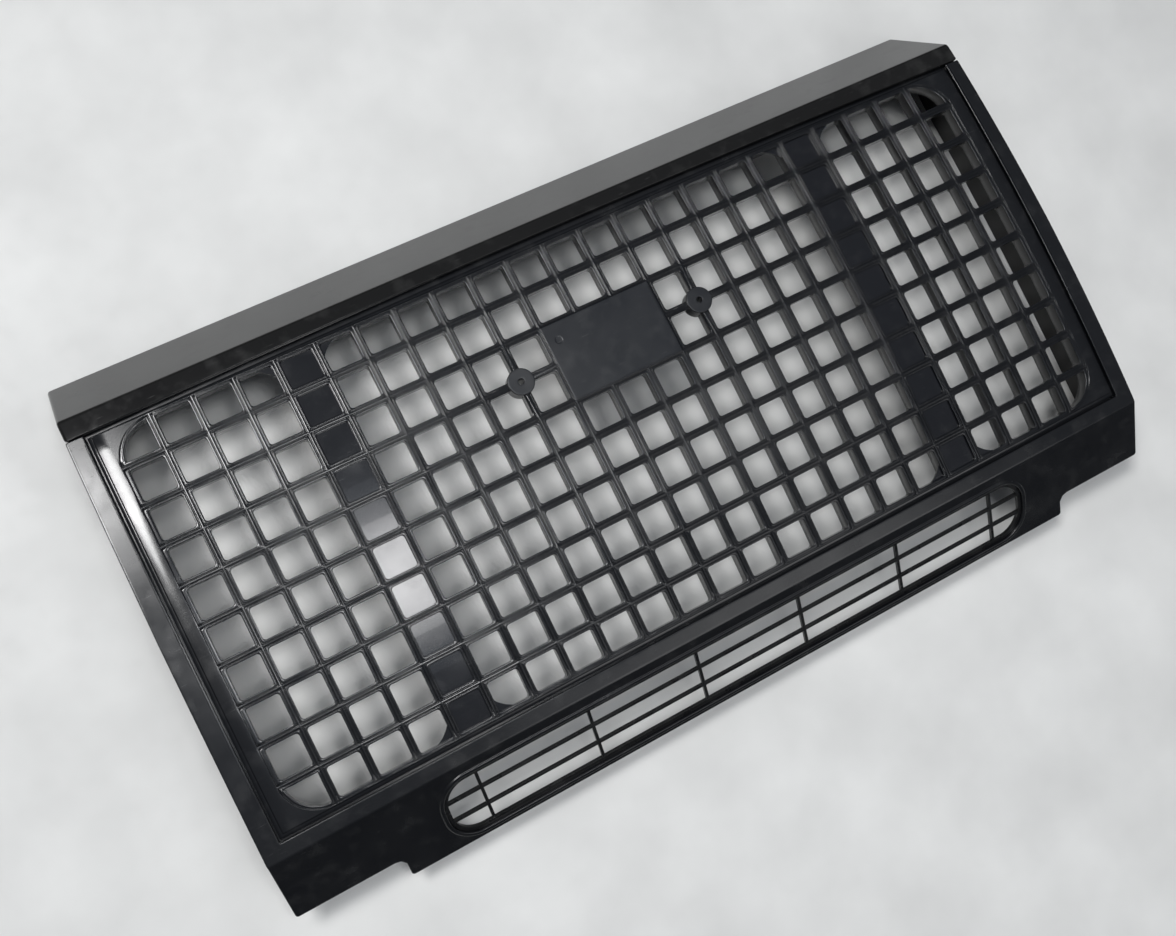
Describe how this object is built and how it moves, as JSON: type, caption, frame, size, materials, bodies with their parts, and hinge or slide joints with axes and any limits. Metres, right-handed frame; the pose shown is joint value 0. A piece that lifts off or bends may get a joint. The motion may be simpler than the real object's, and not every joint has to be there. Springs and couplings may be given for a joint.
{
  "type": "front grille",
  "caption": "Black egg-crate front grille in a crowned surround with a sloped glossy hood moulding, blank pillars, a badge plate and a folded skirt with a barred intake slot.",
  "frame": {"origin": "middle of the grille's footprint, on the rear plane that it rests on when it lies face up", "axes": "+X across the grille to the right as seen from the front, +Y towards the hood moulding at the top, +Z out of the face"},
  "size_m": [0.949, 0.536, 0.0975],
  "materials": {
    "hood_gloss": "high gloss black",
    "face_plastic": "satin black, slightly blue",
    "lattice_plastic": "satin black with polished bead edges",
    "panel_plastic": "smooth semi-gloss black",
    "badge_plastic": "fine satin black",
    "return_plastic": "dull black",
    "insert_plastic": "satin black",
    "zinc": "zinc plated",
    "bracket_steel": "black e-coat"
  },
  "bodies": {
    "root": {"hood_moulding": "hood_gloss", "surround_frame": "face_plastic", "side_return_left": "return_plastic", "side_return_right": "return_plastic", "window_panel": "panel_plastic", "lattice_panel": "lattice_plastic", "badge_plate": "badge_plastic", "badge_bushes": "badge_plastic", "bush_rings": "zinc", "badge_push_nuts": "zinc", "intake_insert": "insert_plastic", "lattice_push_nuts": "zinc", "hood_screws": "zinc", "return_screws": "zinc", "intake_screws": "zinc", "pillar_stiffener_left": "return_plastic", "pillar_stiffener_right": "return_plastic", "stiffener_push_nuts": "zinc", "hood_brackets": "bracket_steel", "bracket_rivets": "zinc"}
  },
  "joints": []
}
